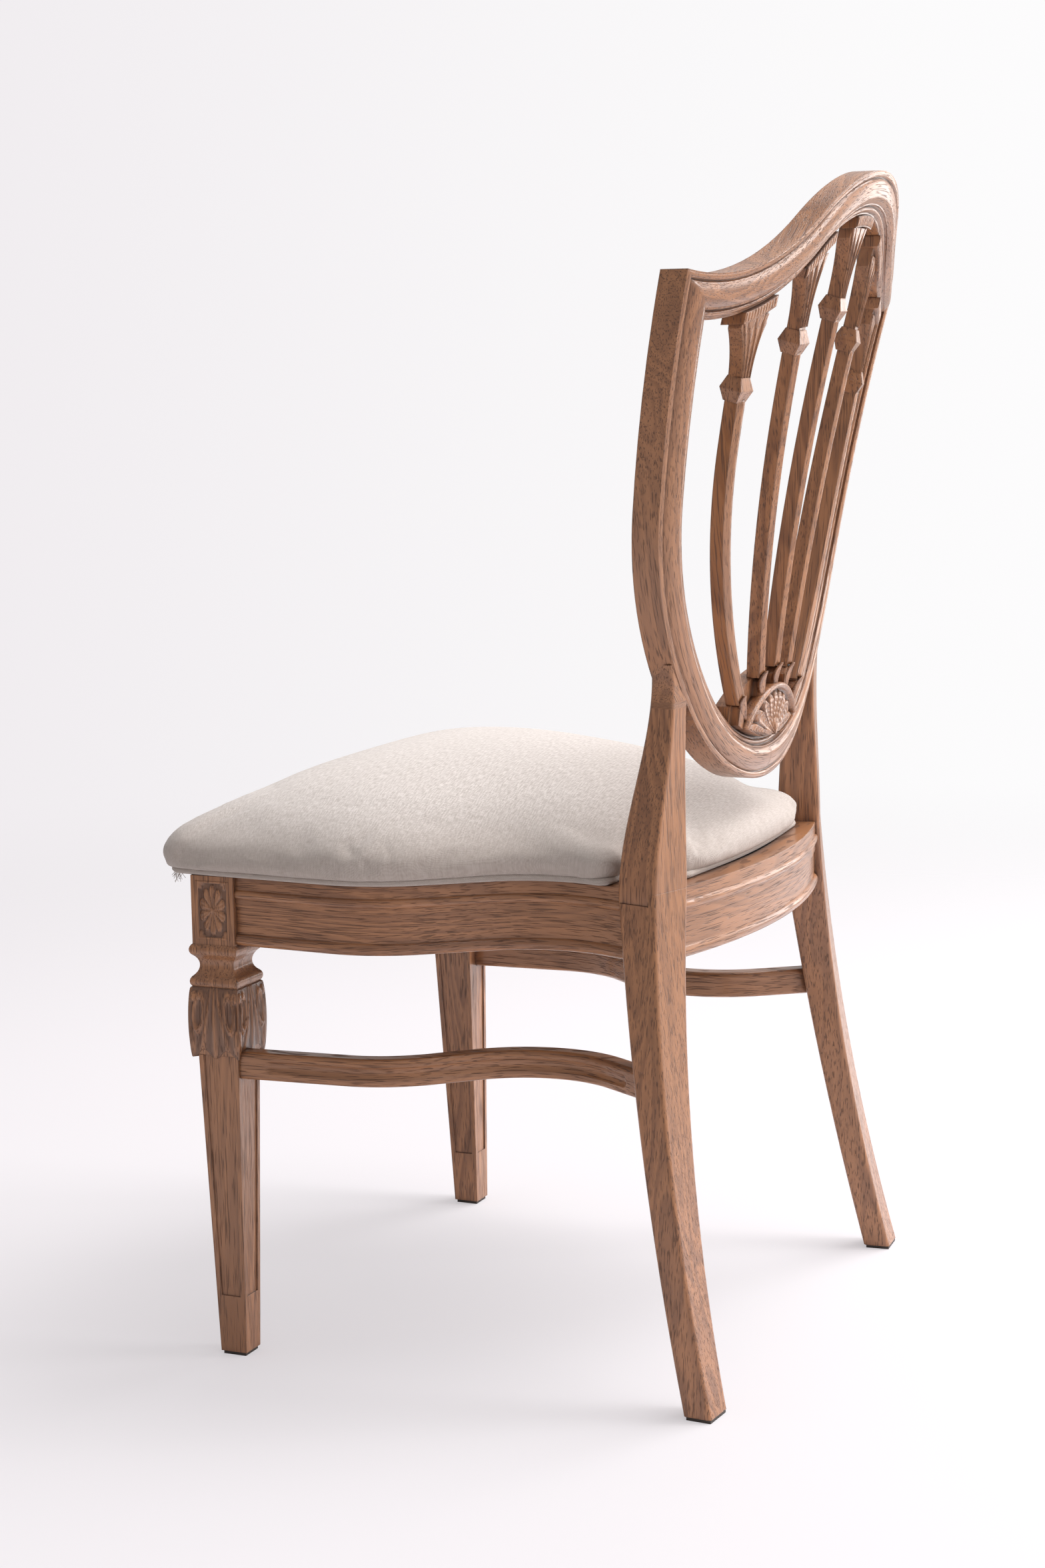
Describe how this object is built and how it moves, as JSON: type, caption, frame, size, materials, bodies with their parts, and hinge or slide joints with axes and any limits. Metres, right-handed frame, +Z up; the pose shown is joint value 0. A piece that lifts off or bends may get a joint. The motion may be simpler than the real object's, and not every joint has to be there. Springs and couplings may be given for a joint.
{
  "type": "shield-back dining chair",
  "caption": "Shield-back dining chair with a bowed moulded back, curved splats, serpentine rails and stretchers, tapered front legs, swept rear legs and a loose padded seat.",
  "frame": {"origin": "on the floor, under the middle of the whole chair", "axes": "+Z up, the sitter faces -Y, +X is the sitter's left"},
  "size_m": [0.5302, 0.5524, 0.977],
  "materials": {
    "frame": "satin moulded resin with a wood grain finish",
    "linen": "plain fine woven linen",
    "board": "bare board under the pad",
    "panel": "black moulded sheet",
    "steel": "plain zinc plated",
    "glide": "matt dark plastic"
  },
  "bodies": {
    "frame": {"back_frame": "frame", "brace_screws": "steel", "corner_brace_front_left": "frame", "corner_brace_front_right": "frame", "corner_brace_rear_left": "frame", "corner_brace_rear_right": "frame", "fan_boss": "frame", "front_glide_left": "glide", "front_glide_right": "glide", "front_leg_left": "frame", "front_leg_right": "frame", "front_rail": "frame", "panel_screws": "steel", "post_spigot_left": "steel", "post_spigot_right": "steel", "rear_glide_left": "glide", "rear_glide_right": "glide", "rear_leg_left": "frame", "rear_leg_right": "frame", "rear_rail": "frame", "seat_panel": "panel", "side_rail_left": "frame", "side_rail_right": "frame", "side_stretcher_left": "frame", "side_stretcher_right": "frame", "spigot_screws": "steel", "splat_base": "frame", "splat_inner_left": "frame", "splat_inner_right": "frame", "splat_middle": "frame", "splat_outer_left": "frame", "splat_outer_right": "frame"},
    "pad": {"seat_cushion": "linen", "cushion_board": "board", "cushion_piping": "linen"}
  },
  "joints": [
    {"name": "pad_slide", "type": "slide", "parent": "frame", "child": "pad", "axis": [0, -0.966, 0.2586], "range_m": [0, 0.35]}
  ]
}
